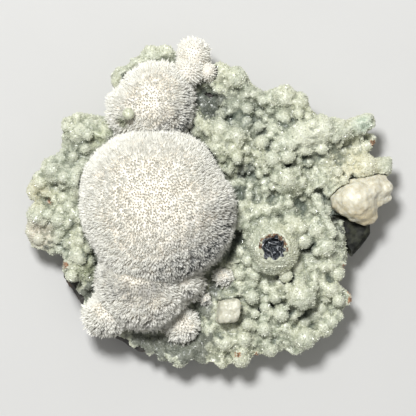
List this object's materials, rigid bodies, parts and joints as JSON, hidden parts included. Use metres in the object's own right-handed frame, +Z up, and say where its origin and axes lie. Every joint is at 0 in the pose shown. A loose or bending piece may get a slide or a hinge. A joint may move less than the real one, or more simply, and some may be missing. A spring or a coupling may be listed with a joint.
{
  "type": "mordenite puff on calcite mineral specimen",
  "caption": "Mineral specimen resting on its rock: white balls of mordenite needles on a pale green, knobbly calcite crust over dark basalt, with a broken stalactite stub.",
  "frame": {"origin": "on the flat underside of the rock, below the middle of the outline", "axes": "+Z up from the flat back of the rock through the crystals; seen from above, +X is the right and +Y the upper side"},
  "size_m": [0.1187, 0.106, 0.0452],
  "materials": {
    "basalt": "dull, freshly broken, fine-grained dark rock with rusty stains",
    "green_calcite": "glittering skin of tiny crystals, pale sage green, darker and bluer in the crevices",
    "mordenite": "silky white needles, faintly beige between them",
    "cream_calcite": "waxy, slightly translucent cream crystal",
    "grey_calcite": "smooth, greasy, translucent grey crystal",
    "dark_core": "crumpled blue-black core with a dull metallic gleam and a ragged rusty rim"
  },
  "bodies": {
    "root": {"basalt_base": "basalt", "calcite_crust": "green_calcite", "calcite_bead": "green_calcite", "mordenite_puff": "mordenite", "mordenite_tuft_right": "mordenite", "mordenite_tuft_small": "mordenite", "cream_lump": "cream_calcite", "cream_rhomb": "cream_calcite", "grey_blade": "grey_calcite", "stalactite_core": "dark_core"}
  },
  "joints": []
}
